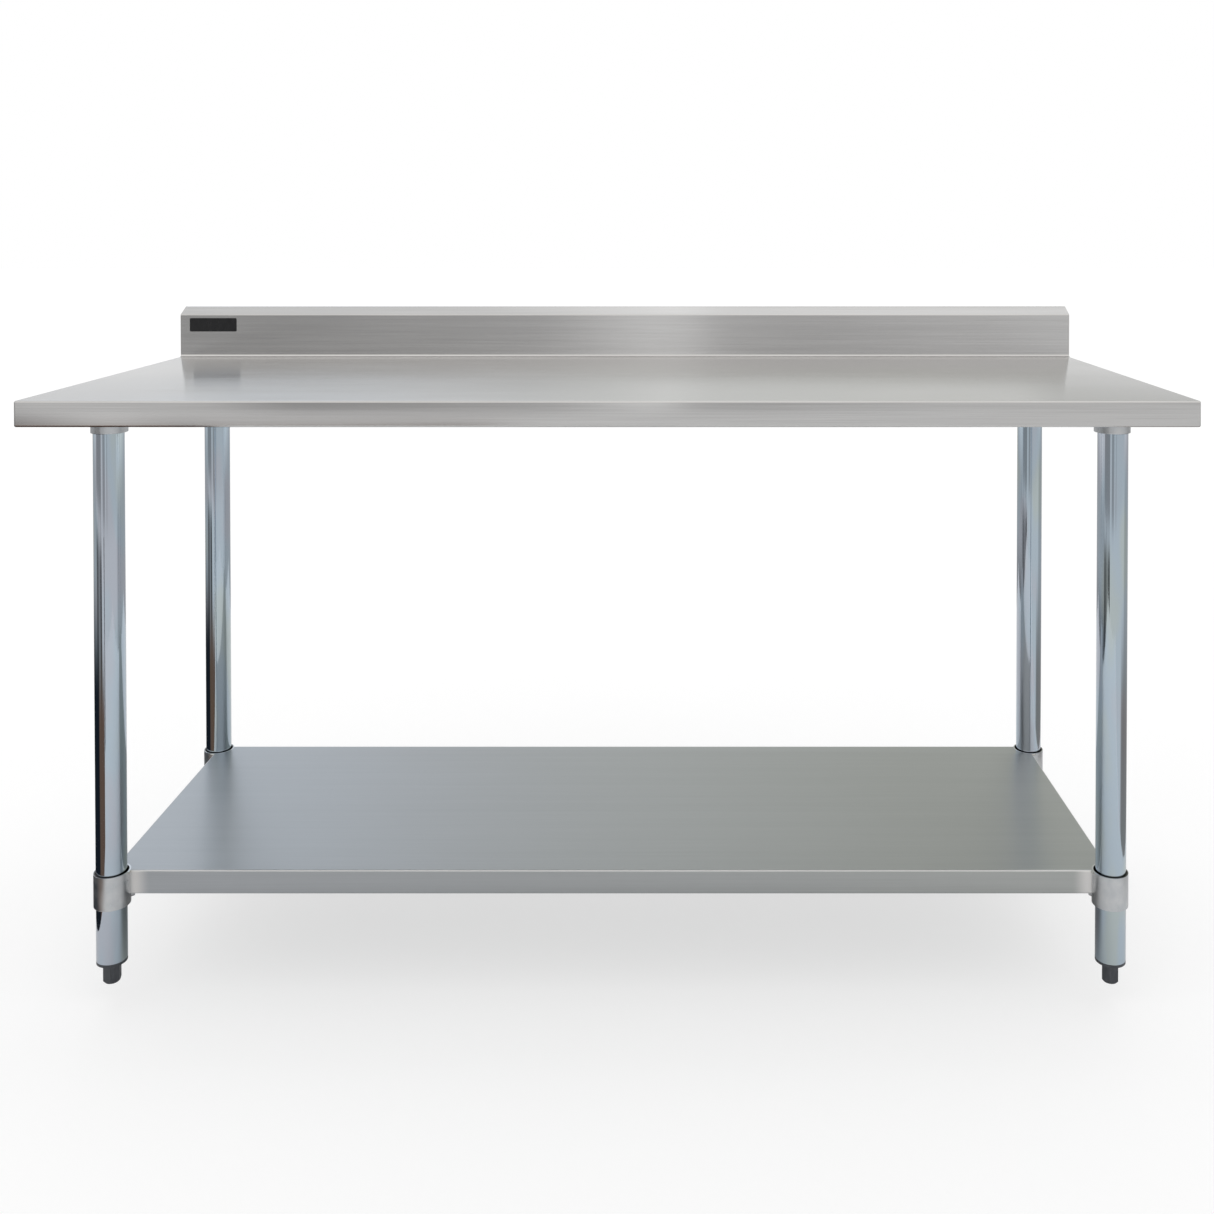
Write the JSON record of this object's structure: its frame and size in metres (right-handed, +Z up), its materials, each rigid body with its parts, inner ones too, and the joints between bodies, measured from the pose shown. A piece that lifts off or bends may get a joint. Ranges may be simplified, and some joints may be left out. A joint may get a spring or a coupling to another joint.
{
  "type": "work table",
  "caption": "Stainless work table with a low splashback, round tube legs, a clamped undershelf that slides on the legs, and screw-in levelling feet.",
  "frame": {"origin": "on the floor under the middle of the table's outline", "axes": "+X along the table to the right, +Y from the front edge to the back, +Z up"},
  "size_m": [1.524, 0.61, 0.8845],
  "materials": {
    "worktop_steel": "stainless sheet with a fine grain along the table",
    "channel_zinc": "galvanised folded steel",
    "shelf_steel": "satin galvanised sheet",
    "leg_zinc": "bright zinc-plated tube",
    "ring_casting": "matte plated ring",
    "foot_plastic": "moulded dark grey nylon",
    "fastener_zinc": "zinc-plated fastener",
    "screw_black": "blackened grub screw",
    "plate_black": "blank black label plate"
  },
  "bodies": {
    "table": {"worktop_sheet": "worktop_steel", "splash_end_cap_left": "worktop_steel", "splash_end_cap_right": "worktop_steel", "cross_rail_left": "channel_zinc", "cross_rail_right": "channel_zinc", "top_stiffener": "channel_zinc", "leg_front_left": "leg_zinc", "leg_front_right": "leg_zinc", "leg_back_left": "leg_zinc", "leg_back_right": "leg_zinc", "leg_socket_front_left": "ring_casting", "leg_socket_front_right": "ring_casting", "leg_socket_back_left": "ring_casting", "leg_socket_back_right": "ring_casting", "foot_plug_front_left": "foot_plastic", "foot_plug_front_right": "foot_plastic", "foot_plug_back_left": "foot_plastic", "foot_plug_back_right": "foot_plastic", "weld_studs": "fastener_zinc", "stud_washers": "fastener_zinc", "stud_nuts": "fastener_zinc", "socket_screws": "screw_black", "maker_plate": "plate_black"},
    "undershelf": {"shelf_sheet": "shelf_steel", "shelf_stiffener": "channel_zinc", "collar_screws": "screw_black", "shelf_collar_front_left": "ring_casting", "shelf_collar_front_right": "ring_casting", "shelf_collar_back_left": "ring_casting", "shelf_collar_back_right": "ring_casting"},
    "stem_front_left": {"foot_stem_front_left": "fastener_zinc"},
    "foot_front_left": {"foot_hex_front_left": "foot_plastic"},
    "stem_front_right": {"foot_stem_front_right": "fastener_zinc"},
    "foot_front_right": {"foot_hex_front_right": "foot_plastic"},
    "stem_back_left": {"foot_stem_back_left": "fastener_zinc"},
    "foot_back_left": {"foot_hex_back_left": "foot_plastic"},
    "stem_back_right": {"foot_stem_back_right": "fastener_zinc"},
    "foot_back_right": {"foot_hex_back_right": "foot_plastic"}
  },
  "joints": [
    {"name": "undershelf_height", "type": "slide", "parent": "table", "child": "undershelf", "axis": [0, 0, 1], "range_m": [-0.06, 0.45]},
    {"name": "foot_height_front_left", "type": "slide", "parent": "table", "child": "stem_front_left", "axis": [0, 0, -1], "range_m": [0, 0.025]},
    {"name": "foot_turn_front_left", "type": "hinge", "parent": "stem_front_left", "child": "foot_front_left", "pos_m": [-0.6775, -0.216, 0.012], "axis": [0, 0, -1], "range_deg": [0, 6000]},
    {"name": "foot_height_front_right", "type": "slide", "parent": "table", "child": "stem_front_right", "axis": [0, 0, -1], "range_m": [0, 0.025]},
    {"name": "foot_turn_front_right", "type": "hinge", "parent": "stem_front_right", "child": "foot_front_right", "pos_m": [0.6775, -0.216, 0.012], "axis": [0, 0, -1], "range_deg": [0, 6000]},
    {"name": "foot_height_back_left", "type": "slide", "parent": "table", "child": "stem_back_left", "axis": [0, 0, -1], "range_m": [0, 0.025]},
    {"name": "foot_turn_back_left", "type": "hinge", "parent": "stem_back_left", "child": "foot_back_left", "pos_m": [-0.6775, 0.21, 0.012], "axis": [0, 0, -1], "range_deg": [0, 6000]},
    {"name": "foot_height_back_right", "type": "slide", "parent": "table", "child": "stem_back_right", "axis": [0, 0, -1], "range_m": [0, 0.025]},
    {"name": "foot_turn_back_right", "type": "hinge", "parent": "stem_back_right", "child": "foot_back_right", "pos_m": [0.6775, 0.21, 0.012], "axis": [0, 0, -1], "range_deg": [0, 6000]}
  ],
  "couplings": [
    {"joint": "foot_turn_front_left", "follows": "foot_height_front_left", "rad_per_m": 4188.8},
    {"joint": "foot_turn_front_right", "follows": "foot_height_front_right", "rad_per_m": 4188.8},
    {"joint": "foot_turn_back_left", "follows": "foot_height_back_left", "rad_per_m": 4188.8},
    {"joint": "foot_turn_back_right", "follows": "foot_height_back_right", "rad_per_m": 4188.8}
  ]
}
